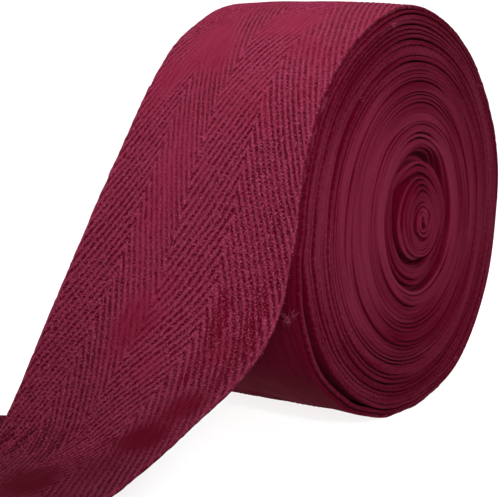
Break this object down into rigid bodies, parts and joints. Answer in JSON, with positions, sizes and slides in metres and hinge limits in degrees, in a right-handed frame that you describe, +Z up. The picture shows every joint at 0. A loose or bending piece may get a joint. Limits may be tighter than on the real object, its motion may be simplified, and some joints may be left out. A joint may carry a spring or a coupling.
{
  "type": "roll of twill tape",
  "caption": "Roll of woven herringbone twill tape standing on its rim, its loose end drawn off the top to the surface and folded under itself.",
  "frame": {"origin": "on the surface, in the middle of the flat spot under the roll", "axes": "+X along the roll's axis out of its open face, +Y away from the loose end, +Z up"},
  "size_m": [0.1094, 0.2258, 0.1031],
  "materials": {
    "wound_tape": "matt woven cotton, seen mostly at its selvedges",
    "loose_tape": "matt herringbone cotton twill"
  },
  "bodies": {
    "root": {"wound_roll": "wound_tape", "loose_end": "loose_tape"}
  },
  "joints": []
}
